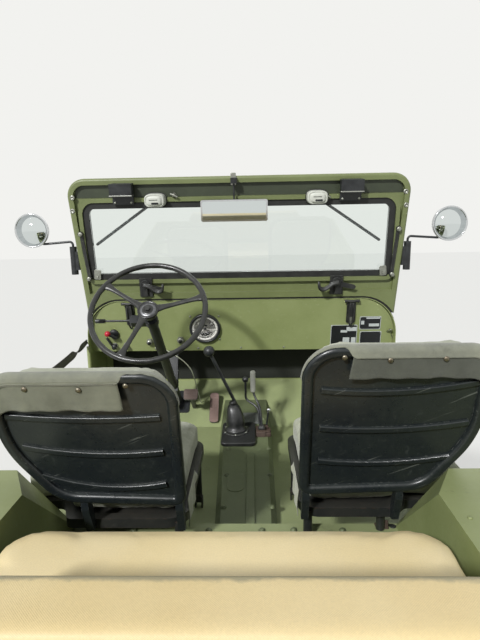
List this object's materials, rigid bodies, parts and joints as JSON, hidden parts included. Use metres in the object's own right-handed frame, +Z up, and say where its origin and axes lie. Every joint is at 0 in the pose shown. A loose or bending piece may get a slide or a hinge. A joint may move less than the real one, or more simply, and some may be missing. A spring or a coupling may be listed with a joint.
{
  "type": "open body of a military 4x4 car",
  "caption": "Open steel body of a small military 4x4 car with cowl, dash, folding windscreen, steering, front seats and rear bench.",
  "frame": {"origin": "on the centre plane, midway along the body, at the underside of the front cross channels", "axes": "+X to the car's right, +Y forward, +Z up"},
  "size_m": [1.938, 2.06, 1.2083],
  "materials": {
    "paint": "satin",
    "canvas": "matte",
    "vinyl": "matte",
    "seat_shell": "satin",
    "rubber": "matte",
    "glass": "clear",
    "motor_cover": "gloss",
    "steel": "worn",
    "plastic": "satin",
    "mirror_shell": "polished",
    "webbing": "woven"
  },
  "bodies": {
    "body": {"battery_box": "paint", "cowl": "paint", "cross_channels": "paint", "dash_controls": "plastic", "dash_panel": "paint", "driver_back_pad": "canvas", "driver_seat_back": "seat_shell", "driver_seat_base": "paint", "driver_seat_cushion": "canvas", "firewall": "paint", "floor_pan": "paint", "gear_boot": "rubber", "gear_lever": "steel", "instrument_cluster": "plastic", "pedals": "steel", "rear_panel": "paint", "rear_seat_base": "paint", "rear_seat_cushion": "vinyl", "safety_strap": "webbing", "screen_clamps": "paint", "screen_hinges": "paint", "seat_pivots": "paint", "side_panel_left": "paint", "side_panel_right": "paint", "signal_switch": "plastic", "steering_column": "paint", "transfer_levers": "steel", "tunnel_cover": "paint", "wheelhouse_left": "paint", "wheelhouse_right": "paint"},
    "windscreen": {"windscreen_frame": "paint", "windscreen_seal": "rubber", "glass_frame": "rubber", "windscreen_glass": "glass", "wiper_motors": "motor_cover", "wipers": "steel", "visor_blocks": "paint", "rear_view_mirror": "plastic", "side_mirror_left": "mirror_shell", "side_mirror_right": "mirror_shell", "screen_catches": "paint"},
    "steering": {"steering_wheel": "plastic", "steering_shaft": "steel"},
    "passenger_seat": {"passenger_seat_base": "paint", "passenger_seat_back": "seat_shell", "passenger_seat_cushion": "canvas", "passenger_back_pad": "canvas"},
    "battery_lid": {"battery_lid": "paint"},
    "rear_backrest": {"rear_backrest": "vinyl", "rear_backrest_frame": "paint"}
  },
  "joints": [
    {"name": "windscreen_fold", "type": "hinge", "parent": "body", "child": "windscreen", "pos_m": [0, 0.818, 0.692], "axis": [-1, 0, 0], "range_deg": [0, 94]},
    {"name": "steering_turn", "type": "hinge", "parent": "body", "child": "steering", "pos_m": [-0.316, 0.33, 0.713], "axis": [0, -0.7199, 0.694], "range_deg": [-585, 585]},
    {"name": "passenger_seat_tip", "type": "hinge", "parent": "body", "child": "passenger_seat", "pos_m": [0.4, 0.185, 0.091], "axis": [-1, 0, 0], "range_deg": [0, 55]},
    {"name": "battery_lid_open", "type": "hinge", "parent": "body", "child": "battery_lid", "pos_m": [0.381, 1.017, 0.65066], "axis": [1, 0, 0], "range_deg": [-80, 0]},
    {"name": "rear_backrest_fold", "type": "hinge", "parent": "body", "child": "rear_backrest", "pos_m": [0, -0.92, 0.462], "axis": [-1, 0, 0], "range_deg": [0, 90]}
  ]
}
